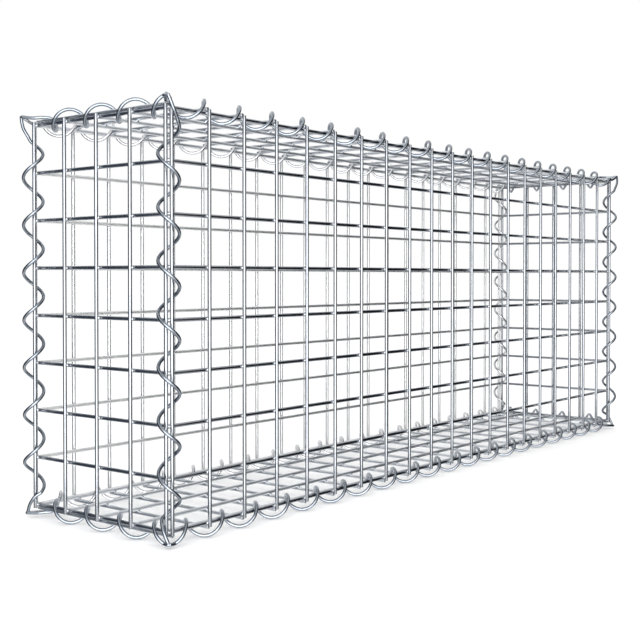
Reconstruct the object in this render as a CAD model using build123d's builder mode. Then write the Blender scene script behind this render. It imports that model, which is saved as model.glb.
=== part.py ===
"""Gabion basket: six welded mesh panels, laced along their twelve edges by spiral wires.

Millimetres. X runs along the basket, Y through it with the front at -Y, and Z up from the ground.
Each panel has two layers of straight wire, an outer layer across an inner one, welded where they cross.
"""
import math
import os

from build123d import *

os.makedirs("parts", exist_ok=True)

# Mesh
cell = 50.0  # wire centre to wire centre, the same both ways
cells_long = 20
cells_deep = 4
cells_high = 8
wire = 4.0  # diameter of the straight wire
wire_sides = 8  # flats on the straight wire, so that crossing wires meet on a face
stub = 1.5  # how far an upright runs past the outer rails

# Lacing spirals
spiral_wire = 3.6  # diameter of the spiral wire
spiral_radius = 10.0  # centre line of the coil
sides_per_turn = 10
spiral_lift = 2.0  # coils along the lid and base lie this far outside their long wires
corner_offset = 3.0  # coils up the corners lie this far outside both of their panels
shortest_run = 2.5  # least straight length between a bend and the drawn-out end

# The three spirals that meet at a corner are drawn out to one tip, this far outside the panels
lid_tip = 11.5
base_tip = 9.0
tip_lift = 7.0  # above or below the coils of the lid or base
lid_tip_gap = 3.4  # from the tip to the ends of the two level spirals
base_tip_gap = 3.9

# Where each kind of spiral first crosses its outward diagonal, measured along it from the corner
lid_long_lead = -9.65
base_long_lead = 2.55
short_lead = 1.35
upright_lead = -4.25

# The square bar that stands for the round spiral wire has the same section area
bar_side = spiral_wire * math.sqrt(math.pi) / 2
bar_reach = bar_side / math.sqrt(2)

# The box through the centres of the inner wires, always a whole number of cells
length = round(cells_long) * cell
depth = round(cells_deep) * cell
height = round(cells_high) * cell
half_length = length / 2
half_depth = depth / 2
base_level = spiral_lift + spiral_radius + bar_reach
lid_level = base_level + height
middle_level = base_level + height / 2

# The outer wires lie against the inner ones, and the lid's and base's border wires inside the rails
outer = wire
inset = wire
spiral_low = base_level - spiral_lift
spiral_high = lid_level + spiral_lift

# Drawn-out ends, as (travel, side, rise) from the near or the far end of the coil's axis
over_border = wire + bar_reach + 0.4  # just clear of the border wire that the spiral steps over
lid_end = lid_tip - lid_tip_gap
base_end = base_tip - base_tip_gap
lid_start = [(-lid_end, lid_tip, tip_lift)]
base_start = [(-base_end, base_tip, tip_lift)]
lid_long_finish = [(-9.0, 9.0, -3.0), (lid_end, lid_tip, tip_lift)]
lid_short_finish = [(-8.0, -2.0, over_border), (lid_end, lid_tip, tip_lift)]
base_long_finish = [(-7.0, -3.0, over_border), (base_end, base_tip, tip_lift)]
base_short_finish = [(-8.0, -2.0, over_border), (base_end, base_tip, tip_lift)]
upright_start = [(-tip_lift, base_tip - corner_offset, base_tip - corner_offset), (7.0, 6.2, -6.2)]
upright_finish = [(-4.0, 6.5, 10.5), (tip_lift, lid_tip - corner_offset, lid_tip - corner_offset)]


def centred(count, pitch=cell):
    """Places of the wires that bound so many cells, evenly spaced about zero."""
    steps = round(count)
    return [(k - steps / 2) * pitch for k in range(steps + 1)]


def framed(places, border):
    """The same places with the two outermost ones moved in to the border wires' place."""
    return [-border, *places[1:-1], border]


def straight_wires(plane, spots, run):
    """Parallel wires of one layer, standing on the spots of a plane."""
    with BuildPart() as layer:
        with BuildSketch(plane):
            with Locations(*spots):
                RegularPolygon(wire / 2, wire_sides, major_radius=False, rotation=180 / wire_sides)
        extrude(amount=run)
    return layer.part


def spiral(corner, along, side, rise, edge, lead, sense, start, finish):
    """A lacing spiral round one edge, with a turn to each cell and both ends drawn out to the corners.

    corner and edge give the coil's axis, side and rise point out of the two panels that it laces, and
    sense is +1 where the wire turns from side to rise as it travels along. start and finish are the
    drawn-out ends, each a list of places as (travel, side, rise), where finish travels from the far end.
    """
    corner, along, side, rise = (Vector(*v) for v in (corner, along, side, rise))

    def place(travel, out, up):
        return corner + along * travel + side * out + rise * up

    finish = [(edge + travel, out, up) for travel, out, up in finish]
    first_travel = start[-1][0] + shortest_run
    last_travel = finish[0][0] - shortest_run
    turns = round(edge / cell)
    bends = []
    for k in range(turns * sides_per_turn + 1):
        travel = lead + k * cell / sides_per_turn
        angle = math.pi / 4 + sense * 2 * math.pi * (travel - lead) / cell
        if first_travel < travel < last_travel:
            bends.append((travel, spiral_radius * math.cos(angle), spiral_radius * math.sin(angle)))

    with BuildPart() as coil:
        with BuildLine() as path:
            Polyline(*(place(*p) for p in [*start, *bends, *finish]))
        with BuildSketch(Plane(origin=path.line @ 0, z_dir=path.line % 0)):
            Rectangle(bar_side, bar_side)
        sweep(transition=Transition.RIGHT)
    return coil.part


parts = {}

# Front and back panels: uprights outside, rails inside from corner to corner
upright_foot = base_level - wire / 2 - stub
upright_run = height + wire + 2 * stub
rail_levels = [middle_level + z for z in centred(cells_high)]
long_run = length + wire
for name, y in (("front", -half_depth), ("back", half_depth)):
    outside = math.copysign(half_depth + outer, y)
    parts[name + "_uprights"] = straight_wires(
        Plane.XY.offset(upright_foot), [(x, outside) for x in centred(cells_long)], upright_run
    )
    parts[name + "_rails"] = straight_wires(
        Plane.YZ.offset(-long_run / 2), [(y, z) for z in rail_levels], long_run
    )

# End panels: their rails fit between the front and back rails
short_run = depth - wire
for name, x in (("left_end", -half_length), ("right_end", half_length)):
    outside = math.copysign(half_length + outer, x)
    parts[name + "_uprights"] = straight_wires(
        Plane.XY.offset(upright_foot), [(outside, y) for y in centred(cells_deep)], upright_run
    )
    parts[name + "_rails"] = straight_wires(
        Plane.XZ.offset(-short_run / 2), [(x, z) for z in rail_levels], short_run
    )

# Lid and base: long wires level with the outermost rails and between them, cross wires outside
long_wire_run = length - wire
long_wire_places = framed(centred(cells_deep), half_depth - inset)
cross_wire_run = depth + wire
cross_wire_places = framed(centred(cells_long), half_length - wire / 2)
for name, level, way in (("lid", lid_level, 1), ("base", base_level, -1)):
    parts[name + "_long_wires"] = straight_wires(
        Plane.YZ.offset(-long_wire_run / 2), [(y, level) for y in long_wire_places], long_wire_run
    )
    parts[name + "_cross_wires"] = straight_wires(
        Plane.XZ.offset(-cross_wire_run / 2),
        [(x, level + way * outer) for x in cross_wire_places],
        cross_wire_run,
    )

# Spirals along the lid and the base: those at the back and right are the others turned half round
for panel, level, way, lead, sense, start, long_finish, short_finish in (
    ("lid", spiral_high, 1, lid_long_lead, 1, lid_start, lid_long_finish, lid_short_finish),
    ("base", spiral_low, -1, base_long_lead, -1, base_start, base_long_finish, base_short_finish),
):
    for name, turn in (("front", 1), ("back", -1)):
        parts[f"{panel}_{name}_spiral"] = spiral(
            (-turn * half_length, -turn * half_depth, level),
            (turn, 0, 0), (0, -turn, 0), (0, 0, way), length, lead, sense, start, long_finish,
        )
    for name, turn in (("left", 1), ("right", -1)):
        parts[f"{panel}_{name}_spiral"] = spiral(
            (-turn * half_length, -turn * half_depth, level),
            (0, turn, 0), (-turn, 0, 0), (0, 0, way), depth, short_lead, -1, start, short_finish,
        )

# Spirals up the four corners
for front, y_way in (("front", -1), ("back", 1)):
    for end, x_way in (("left", -1), ("right", 1)):
        parts[f"{front}_{end}_spiral"] = spiral(
            (x_way * (half_length + corner_offset), y_way * (half_depth + corner_offset), spiral_low),
            (0, 0, 1), (x_way, 0, 0), (0, y_way, 0),
            spiral_high - spiral_low, upright_lead, -1, upright_start, upright_finish,
        )

for name, part in parts.items():
    part.label = name
    export_step(part, f"parts/{name}.step")
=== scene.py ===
"""Looks of the gabion basket: round zinc-coated wire, welded mesh panels and lacing spirals."""
import math

import bmesh
import bpy
from mathutils import Matrix, Vector


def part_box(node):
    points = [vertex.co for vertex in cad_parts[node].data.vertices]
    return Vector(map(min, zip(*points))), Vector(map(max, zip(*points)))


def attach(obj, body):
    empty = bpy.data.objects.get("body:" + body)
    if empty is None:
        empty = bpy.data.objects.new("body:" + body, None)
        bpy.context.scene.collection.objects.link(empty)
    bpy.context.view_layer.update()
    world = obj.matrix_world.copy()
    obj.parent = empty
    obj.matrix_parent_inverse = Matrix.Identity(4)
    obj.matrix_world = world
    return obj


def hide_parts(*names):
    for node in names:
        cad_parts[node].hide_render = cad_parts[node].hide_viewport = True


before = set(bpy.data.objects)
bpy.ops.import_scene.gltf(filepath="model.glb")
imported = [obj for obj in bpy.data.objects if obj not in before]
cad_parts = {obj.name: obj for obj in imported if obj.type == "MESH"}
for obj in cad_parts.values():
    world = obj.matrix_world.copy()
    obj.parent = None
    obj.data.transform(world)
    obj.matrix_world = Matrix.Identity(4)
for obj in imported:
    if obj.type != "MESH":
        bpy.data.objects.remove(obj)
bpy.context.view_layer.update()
scene = bpy.context.scene

# Mesh, in metres
cell = 0.050
cells_long = 20
cells_deep = 4
cells_high = 8
wire = 0.0040  # diameter of the straight wire
wire_sides = 20
wire_end_round = 0.0004  # rounding of a cut end
stub = 0.0015  # how far an upright runs past the outer rails

# Lacing spirals
spiral_wire = 0.0036  # diameter of the spiral wire
spiral_radius = 0.010  # centre line of the coil
spiral_lift = 0.0020  # coils along the lid and base lie this far outside their long wires
corner_offset = 0.003  # coils up the corners lie this far outside both of their panels
spiral_sides = 12
steps_per_turn = 32
bends_per_turn = 10  # a coil begins and ends at one of these places
shortest_run = 0.0025  # from the coil to the first place of its drawn-out end
run_steps = 10  # steps between two places of a drawn-out end
cut_end = ((0.35, 0.92), (0.25, 0.7))  # each step of a rounded end, in wire radii, and how it narrows
same_place = 1e-7  # points nearer than this are merged

# Where each kind of spiral first crosses its outward diagonal, measured along it from the corner
lid_long_lead = -0.00965
base_long_lead = 0.00255
short_lead = 0.00135
upright_lead = -0.00425

# The three spirals that meet at a corner run to one tip, this far outside the panels
lid_tip = 0.0115
base_tip = 0.009
tip_lift = 0.007  # above or below the coils of the lid or base
lid_tip_gap = 0.0014
base_tip_gap = 0.0008

# Welds where two wires cross, half their size
weld_width = 0.0024
weld_height = 0.0010

length = cells_long * cell
depth = cells_deep * cell
height = cells_high * cell
half_length = length / 2
half_depth = depth / 2

base_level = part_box("front_rails")[0].z + wire / 2
lid_level = base_level + height
middle_level = base_level + height / 2
spiral_low = base_level - spiral_lift
spiral_high = lid_level + spiral_lift

# Drawn-out ends, as (travel, side, rise) from the near or the far end of the coil's axis
border_gap = 0.0003
over_border = wire + spiral_wire / 2 + border_gap  # just clear of the border wire that it steps over
lid_end = lid_tip - lid_tip_gap
base_end = base_tip - base_tip_gap
lid_long_start = [(-0.0075, 0.0100, 0.0040)]
lid_short_start = [(-lid_end, lid_tip, tip_lift)]
base_start = [(-base_end, base_tip, tip_lift)]
lid_long_finish = [(-0.009, 0.0098, 0.0003), (lid_end, lid_tip, tip_lift)]
lid_short_finish = [(-0.008, -0.002, over_border), (0.001, 0.0055, 0.0056), (lid_end, lid_tip, tip_lift)]
base_long_finish = [(-0.007, -0.003, over_border), (base_end, base_tip, tip_lift)]
base_short_finish = [(-0.008, -0.002, over_border), (base_end, base_tip, tip_lift)]
upright_start = [(-tip_lift, 0.0052, 0.0046), (0.004, 0.0060, -0.0012), (0.0115, 0.0036, -0.0062)]
upright_finish = [
    (-0.013, -0.0012, 0.0099),
    (-0.004, 0.0045, 0.0107),
    (tip_lift, lid_tip - corner_offset, lid_tip - corner_offset),
]

X, Y, Z = Vector((1, 0, 0)), Vector((0, 1, 0)), Vector((0, 0, 1))
white = (1.0, 1.0, 1.0, 1.0)


def centred(count):
    """Places of the wires that bound so many cells, evenly spaced about zero."""
    return [(k - count / 2) * cell for k in range(count + 1)]


def framed(places, border):
    """The same places with the two outermost ones moved in to the border wires' place."""
    return [-border, *places[1:-1], border]


def facing(direction):
    """Turns +Z to the direction."""
    return direction.to_track_quat("Z", "Y").to_matrix().to_4x4()


def finished(bm, name, material, node):
    """The bmesh as a smooth piece of the basket, in place of a node where one is named."""
    bmesh.ops.recalc_face_normals(bm, faces=bm.faces)
    mesh = bpy.data.meshes.new(name)
    bm.to_mesh(mesh)
    bm.free()
    for face in mesh.polygons:
        face.use_smooth = True
    piece = bpy.data.objects.new(name, mesh)
    scene.collection.objects.link(piece)
    mesh.materials.append(material)
    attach(piece, "root")
    if node:
        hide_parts(node)


# Straight wire and welds


def straight_wire(bm, start, along, run):
    """One round wire with softened ends."""
    ring = bmesh.ops.create_circle(bm, cap_ends=True, segments=wire_sides, radius=wire / 2)
    bmesh.ops.transform(bm, matrix=Matrix.Translation(start) @ facing(along), verts=ring["verts"])
    foot = ring["verts"][0].link_faces[0]
    pulled = bmesh.ops.extrude_face_region(bm, geom=[foot], use_keep_orig=True)
    head_verts = [v for v in pulled["geom"] if isinstance(v, bmesh.types.BMVert)]
    bmesh.ops.translate(bm, vec=along * run, verts=head_verts)
    head = [f for f in pulled["geom"] if isinstance(f, bmesh.types.BMFace)][0]
    rims = list(foot.edges) + list(head.edges)
    bmesh.ops.bevel(
        bm, geom=rims, offset=wire_end_round, offset_type="OFFSET", segments=2, profile=0.5,
        affect="EDGES", material=-1,
    )


def straight_layer(node, starts, along, run, material):
    """The parallel wires of one layer of a panel."""
    bm = bmesh.new()
    for start in starts:
        straight_wire(bm, start, along, run)
    finished(bm, f"round_{node}", material, node)


def welds(name, places, normal):
    """A low bead in the corner between two crossing wires, at each place."""
    bm = bmesh.new()
    turn = facing(normal)
    size = Matrix.Diagonal((weld_width, weld_width, weld_height, 1.0))
    for place in places:
        bead = bmesh.ops.create_uvsphere(bm, u_segments=8, v_segments=4, radius=1.0)
        bmesh.ops.transform(bm, matrix=Matrix.Translation(place) @ turn @ size, verts=bead["verts"])
    finished(bm, name, weld_zinc, None)


# Spiral wire


def run_on(bm, ring, centre, heading, target, new_heading):
    """Draws the wire on from its end ring to a target, and turns the ring to its new heading."""
    pulled = bmesh.ops.extrude_edge_only(bm, edges=ring)
    verts = [g for g in pulled["geom"] if isinstance(g, bmesh.types.BMVert)]
    edges = [
        g for g in pulled["geom"]
        if isinstance(g, bmesh.types.BMEdge) and all(v in verts for v in g.verts)
    ]
    turn = heading.rotation_difference(new_heading).to_matrix()
    bmesh.ops.rotate(bm, cent=centre, matrix=turn, verts=verts)
    bmesh.ops.translate(bm, vec=target - centre, verts=verts)
    return edges


def close_end(bm, ring, centre, heading):
    """A rounded cut end."""
    for reach, share in cut_end:
        target = centre + heading * spiral_wire / 2 * reach
        ring = run_on(bm, ring, centre, heading, target, heading)
        verts = list({v for e in ring for v in e.verts})
        centre = target
        bmesh.ops.scale(
            bm, vec=(share, share, share), space=Matrix.Translation(-centre), verts=verts
        )
    bmesh.ops.edgeloop_fill(bm, edges=ring)


def eased(a, b, slope_a, slope_b, t):
    """A smooth curve from a to b that leaves and arrives with the given slopes."""
    t2, t3 = t * t, t * t * t
    return (
        a * (2 * t3 - 3 * t2 + 1) + slope_a * (t3 - 2 * t2 + t)
        + b * (3 * t2 - 2 * t3) + slope_b * (t3 - t2)
    )


def drawn_out(first, way, places):
    """Points of a smooth wire from the coil's end, which points the given way, through the places."""
    stops = [first, *places]
    spans = [(b - a).length for a, b in zip(stops, stops[1:])]
    ways = [way]
    for k in range(1, len(stops) - 1):
        before = (stops[k] - stops[k - 1]) / spans[k - 1]
        after = (stops[k + 1] - stops[k]) / spans[k]
        ways.append((before * spans[k] + after * spans[k - 1]).normalized())
    ways.append(((stops[-1] - stops[-2]) / spans[-1] * 1.5 - ways[-1] * 0.5).normalized())
    points = []
    for k, span in enumerate(spans):
        for step in range(1, run_steps + 1):
            points.append(
                eased(stops[k], stops[k + 1], ways[k] * span, ways[k + 1] * span, step / run_steps)
            )
    return points


def spiral(node, corner, along, side, rise, edge, lead, sense, start, finish, material):
    """A lacing spiral: a round wire coiled about one edge, its ends drawn out to the corners.

    corner and edge give the coil's axis, side and rise point out of the two panels that it laces, and
    sense is +1 where the wire turns from side to rise as it travels along.
    """

    def place(travel, out, up):
        return corner + along * travel + side * out + rise * up

    def on_coil(travel):
        angle = math.pi / 4 + sense * 2 * math.pi * (travel - lead) / cell
        return place(travel, spiral_radius * math.cos(angle), spiral_radius * math.sin(angle))

    def heading_at(travel):
        near = 1e-5
        return (on_coil(travel + near) - on_coil(travel - near)).normalized()

    bend_count = round(edge / cell) * bends_per_turn
    bends = [lead + k * cell / bends_per_turn for k in range(bend_count + 1)]
    first_limit = start[-1][0] + shortest_run
    last_limit = edge + finish[0][0] - shortest_run
    first = min(b for b in bends if b > first_limit)
    last = max(b for b in bends if b < last_limit)

    bm = bmesh.new()
    ring = bmesh.ops.create_circle(bm, cap_ends=False, segments=spiral_sides, radius=spiral_wire / 2)
    begin = on_coil(first)
    bmesh.ops.transform(
        bm, matrix=Matrix.Translation(begin) @ facing(heading_at(first)), verts=ring["verts"]
    )
    rim = list({e for v in ring["verts"] for e in v.link_edges})
    steps = max(1, round((last - first) / cell * steps_per_turn))
    hand = sense if side.cross(rise).dot(along) > 0 else -sense
    coil = bmesh.ops.spin(
        bm, geom=rim, cent=corner, axis=along, dvec=along * (last - first) / steps,
        angle=hand * 2 * math.pi * (last - first) / cell, steps=steps, use_duplicate=False,
    )
    far_rim = [g for g in coil["geom_last"] if isinstance(g, bmesh.types.BMEdge)]

    start_places = [place(*p) for p in reversed(start)]
    finish_places = [place(edge + travel, out, up) for travel, out, up in finish]
    for end_rim, centre, way, places in (
        (rim, begin, -heading_at(first), start_places),
        (far_rim, on_coil(last), heading_at(last), finish_places),
    ):
        points = drawn_out(centre, way, places)
        for k, target in enumerate(points):
            beyond = points[k + 1] if k + 1 < len(points) else target * 2 - centre
            new_way = (beyond - centre).normalized()
            end_rim = run_on(bm, end_rim, centre, way, target, new_way)
            centre, way = target, new_way
        close_end(bm, end_rim, centre, way)
    bmesh.ops.remove_doubles(bm, verts=bm.verts, dist=same_place)
    finished(bm, f"round_{node}", material, node)


# Finishes


def zinc(name, tint, shade, roughness, grain):
    """Zinc coating: faint crystals, dull patches and a fine grain. Pattern scales are per metre."""
    dullest, brightest = 0.35, 0.85
    rougher, smoother = 0.06, 0.04
    material = bpy.data.materials.new(name)
    material.use_nodes = True
    nodes, links = material.node_tree.nodes, material.node_tree.links
    shader = nodes["Principled BSDF"]
    shader.inputs["Metallic"].default_value = 1.0
    where = nodes.new("ShaderNodeTexCoord")

    crystals = nodes.new("ShaderNodeTexVoronoi")
    crystals.inputs["Scale"].default_value = 420.0
    links.new(where.outputs["Object"], crystals.inputs["Vector"])
    patches = nodes.new("ShaderNodeTexNoise")
    patches.inputs["Scale"].default_value = 38.0
    patches.inputs["Detail"].default_value = 3.0
    links.new(where.outputs["Object"], patches.inputs["Vector"])
    fine = nodes.new("ShaderNodeTexNoise")
    fine.inputs["Scale"].default_value = 1500.0
    fine.inputs["Detail"].default_value = 2.0
    links.new(where.outputs["Object"], fine.inputs["Vector"])

    blend = nodes.new("ShaderNodeMath")
    blend.operation = "MULTIPLY_ADD"
    blend.inputs[1].default_value = 0.35  # the crystals' share beside the patches
    links.new(crystals.outputs["Color"], blend.inputs[0])
    links.new(patches.outputs["Fac"], blend.inputs[2])
    colours = nodes.new("ShaderNodeValToRGB")
    colours.color_ramp.elements[0].position = dullest
    colours.color_ramp.elements[0].color = (*shade, 1.0)
    colours.color_ramp.elements[1].position = brightest
    colours.color_ramp.elements[1].color = (*tint, 1.0)
    links.new(blend.outputs[0], colours.inputs["Fac"])
    links.new(colours.outputs["Color"], shader.inputs["Base Color"])

    gloss = nodes.new("ShaderNodeMapRange")
    gloss.inputs["From Min"].default_value = dullest
    gloss.inputs["From Max"].default_value = brightest
    gloss.inputs["To Min"].default_value = roughness + rougher
    gloss.inputs["To Max"].default_value = roughness - smoother
    links.new(blend.outputs[0], gloss.inputs["Value"])
    links.new(gloss.outputs["Result"], shader.inputs["Roughness"])

    bump = nodes.new("ShaderNodeBump")
    bump.inputs["Strength"].default_value = grain
    bump.inputs["Distance"].default_value = 0.0002
    links.new(fine.outputs["Fac"], bump.inputs["Height"])
    links.new(bump.outputs["Normal"], shader.inputs["Normal"])
    return material


# One zinc wire throughout, in lit and shaded copies: shiny on the front and the ends, duller on the lid
# and base, and dullest on the back. The tints are painted: darker on the front, the ends and the spirals
# as painted shade, paler on the lid and base as painted light, and palest on the back, its spirals and
# the back right corner spiral as painted light that stands in for haze.
zinc_with_painted_shade = zinc("zinc_with_painted_shade", (0.43, 0.45, 0.48), (0.34, 0.36, 0.39), 0.15, 0.04)
zinc_with_painted_light = zinc("zinc_with_painted_light", (0.77, 0.79, 0.82), (0.64, 0.67, 0.70), 0.34, 0.05)
zinc_with_painted_haze = zinc("zinc_with_painted_haze", (0.81, 0.82, 0.82), (0.71, 0.72, 0.72), 0.44, 0.06)
coil_zinc_with_painted_shade = zinc("coil_zinc_with_painted_shade", (0.33, 0.36, 0.40), (0.22, 0.25, 0.29), 0.15, 0.04)
coil_zinc_with_painted_haze = zinc("coil_zinc_with_painted_haze", (0.66, 0.67, 0.69), (0.54, 0.55, 0.57), 0.26, 0.05)
weld_zinc = zinc("weld_zinc", (0.60, 0.62, 0.64), (0.46, 0.47, 0.49), 0.28, 0.20)

# Front and back panels: uprights outside, rails inside from corner to corner
long_places = centred(cells_long)
deep_places = centred(cells_deep)
levels = [middle_level + z for z in centred(cells_high)]
foot_level = base_level - wire / 2 - stub
upright_run = height + wire + 2 * stub
long_run = length + wire
for name, way, finish in (("front", -1, zinc_with_painted_shade), ("back", 1, zinc_with_painted_haze)):
    y = way * half_depth
    outside = way * (half_depth + wire)
    between = way * (half_depth + wire / 2)
    uprights = [Vector((x, outside, foot_level)) for x in long_places]
    rails = [Vector((-long_run / 2, y, z)) for z in levels]
    straight_layer(f"{name}_uprights", uprights, Z, upright_run, finish)
    straight_layer(f"{name}_rails", rails, X, long_run, finish)
    welds(f"{name}_welds", [Vector((x, between, z)) for x in long_places for z in levels], Y)

# End panels: their rails fit between the front and back rails
short_run = depth - wire
for name, way in (("left_end", -1), ("right_end", 1)):
    x = way * half_length
    outside = way * (half_length + wire)
    between = way * (half_length + wire / 2)
    uprights = [Vector((outside, y, foot_level)) for y in deep_places]
    rails = [Vector((x, -short_run / 2, z)) for z in levels]
    straight_layer(f"{name}_uprights", uprights, Z, upright_run, zinc_with_painted_shade)
    straight_layer(f"{name}_rails", rails, Y, short_run, zinc_with_painted_shade)
    welds(f"{name}_welds", [Vector((between, y, z)) for y in deep_places for z in levels], X)

# Lid and base: long wires level with the outermost rails and between them, cross wires outside
long_wire_run = length - wire
cross_run = depth + wire
long_wire_places = framed(deep_places, half_depth - wire)
cross_places = framed(long_places, half_length - wire / 2)
for name, level, way in (("lid", lid_level, 1), ("base", base_level, -1)):
    outside = level + way * wire
    between = level + way * wire / 2
    long_wires = [Vector((-long_wire_run / 2, y, level)) for y in long_wire_places]
    cross_wires = [Vector((x, -cross_run / 2, outside)) for x in cross_places]
    straight_layer(f"{name}_long_wires", long_wires, X, long_wire_run, zinc_with_painted_light)
    straight_layer(f"{name}_cross_wires", cross_wires, Y, cross_run, zinc_with_painted_light)
    welds(f"{name}_welds", [Vector((x, y, between)) for x in cross_places for y in long_wire_places], Z)

# Spirals along the lid and the base: those at the back and right are the others turned half round
for panel, level, way, lead, sense, long_ends, short_ends in (
    (
        "lid", spiral_high, 1, lid_long_lead, 1,
        (lid_long_start, lid_long_finish), (lid_short_start, lid_short_finish),
    ),
    (
        "base", spiral_low, -1, base_long_lead, -1,
        (base_start, base_long_finish), (base_start, base_short_finish),
    ),
):
    for name, turn, finish in (("front", 1, coil_zinc_with_painted_shade), ("back", -1, coil_zinc_with_painted_haze)):
        spiral(
            f"{panel}_{name}_spiral", Vector((-turn * half_length, -turn * half_depth, level)),
            X * turn, Y * -turn, Z * way, length, lead, sense, *long_ends, finish,
        )
    for name, turn in (("left", 1), ("right", -1)):
        spiral(
            f"{panel}_{name}_spiral", Vector((-turn * half_length, -turn * half_depth, level)),
            Y * turn, X * -turn, Z * way, depth, short_lead, -1, *short_ends, coil_zinc_with_painted_shade,
        )

# Spirals up the four corners
for name, x_way, y_way, finish in (
    ("front_left", -1, -1, coil_zinc_with_painted_shade),
    ("front_right", 1, -1, coil_zinc_with_painted_shade),
    ("back_left", -1, 1, coil_zinc_with_painted_shade),
    ("back_right", 1, 1, coil_zinc_with_painted_haze),
):
    axis_foot = Vector((
        x_way * (half_length + corner_offset), y_way * (half_depth + corner_offset), spiral_low
    ))
    spiral(
        f"{name}_spiral", axis_foot, Z, X * x_way, Y * y_way, spiral_high - spiral_low,
        upright_lead, -1, upright_start, upright_finish, finish,
    )

# Floor, cards and light


def matte(name, tone, roughness):
    """A dull material with its shader."""
    material = bpy.data.materials.new(name)
    material.use_nodes = True
    shader = material.node_tree.nodes["Principled BSDF"]
    shader.inputs["Base Color"].default_value = (*tone, 1.0)
    shader.inputs["Roughness"].default_value = roughness
    shader.inputs["Specular IOR Level"].default_value = 0.0
    shader.inputs["Emission Color"].default_value = white
    return material, shader


def flat_sheet(name, material, half_side, placing):
    """A flat square of the set."""
    bm = bmesh.new()
    bmesh.ops.create_grid(bm, x_segments=1, y_segments=1, size=half_side)
    bmesh.ops.transform(bm, matrix=placing, verts=bm.verts)
    mesh = bpy.data.meshes.new(name)
    bm.to_mesh(mesh)
    bm.free()
    mesh.materials.append(material)
    sheet = bpy.data.objects.new(name, mesh)
    scene.collection.objects.link(sheet)
    return sheet


def aimed(place, target):
    """Turns -Z from the place to the target."""
    return (Vector(target) - Vector(place)).to_track_quat("-Z", "Y")


def softbox(name, place, target, width, tall, power):
    """A soft lamp that the wire doesn't mirror."""
    lamp = bpy.data.lights.new(name, "AREA")
    lamp.shape = "RECTANGLE"
    lamp.size = width
    lamp.size_y = tall
    lamp.energy = power
    holder = bpy.data.objects.new(name, lamp)
    scene.collection.objects.link(holder)
    holder.location = place
    holder.rotation_euler = aimed(place, target).to_euler()
    holder.visible_camera = False
    holder.visible_glossy = False


def card(name, place, target, width, tall, tone, glow=0.0):
    """A card that only the bright wire mirrors: a dark one for its edges, a glowing one for its core."""
    material, shader = matte(name, tone, 1.0)
    shader.inputs["Emission Strength"].default_value = glow
    material.cycles.emission_sampling = "NONE"
    size = Matrix.Diagonal((width, tall, 1.0, 1.0))
    turn = aimed(place, target).to_matrix().to_4x4()
    sheet = flat_sheet(name, material, 0.5, Matrix.Translation(place) @ turn @ size)
    sheet.visible_camera = False
    sheet.visible_diffuse = False
    sheet.visible_shadow = False


# The floor's glow is only for what sees it directly, so it adds no light to the basket. Glossy rays
# pass through the floor, and the wire mirrors the white world and the cards in its place.
floor_half_side = 30.0
floor_tone = (0.93, 0.93, 0.93)
floor_glow = 0.09
pale_floor, floor_shader = matte("pale_floor", floor_tone, 0.9)
nodes, links = pale_floor.node_tree.nodes, pale_floor.node_tree.links
ray = nodes.new("ShaderNodeLightPath")
direct = nodes.new("ShaderNodeMath")
links.new(ray.outputs["Is Camera Ray"], direct.inputs[0])
links.new(ray.outputs["Is Glossy Ray"], direct.inputs[1])
seen = nodes.new("ShaderNodeMath")
links.new(direct.outputs[0], seen.inputs[0])
links.new(ray.outputs["Is Transmission Ray"], seen.inputs[1])
lift = nodes.new("ShaderNodeMath")
lift.operation = "MULTIPLY"
lift.inputs[1].default_value = floor_glow
links.new(seen.outputs[0], lift.inputs[0])
links.new(lift.outputs[0], floor_shader.inputs["Emission Strength"])
floor = flat_sheet("floor", pale_floor, floor_half_side, Matrix.Identity(4))
floor.visible_glossy = False

world = bpy.data.worlds.new("studio")
scene.world = world
world.use_nodes = True
world.node_tree.nodes["Background"].inputs["Color"].default_value = white
world.node_tree.nodes["Background"].inputs["Strength"].default_value = 1.0

softbox("camera_softbox", (-2.1, -1.75, 1.4), (0.0, 0.0, 0.1), 2.4, 2.4, 45.0)
card("bright_card", (-2.1, -1.75, 0.2), (0.0, 0.0, 0.2), 2.6, 3.4, (0.8, 0.8, 0.8), 3.0)
card("right_card", (1.1, -0.9, 0.2), (0.0, 0.0, 0.2), 2.9, 3.2, (0.02, 0.022, 0.026))
card("left_card", (-0.9, 0.95, 0.2), (0.0, 0.0, 0.2), 2.0, 2.2, (0.07, 0.085, 0.11))

# Camera at the photograph's place
camera_place = (-1.1893, -0.8306, 0.25496)
yaw, pitch, roll = math.radians(51.453), math.radians(-0.945), math.radians(-0.017)
camera_data = bpy.data.cameras.new("photo_camera")
camera_data.sensor_width = 36.0
camera_data.lens = 59.55
camera_data.shift_y = -0.0399
camera = bpy.data.objects.new("photo_camera", camera_data)
scene.collection.objects.link(camera)
camera.location = camera_place
camera.rotation_euler = (math.pi / 2 + pitch, roll, -yaw)
scene.camera = camera

scene.view_settings.view_transform = "Standard"
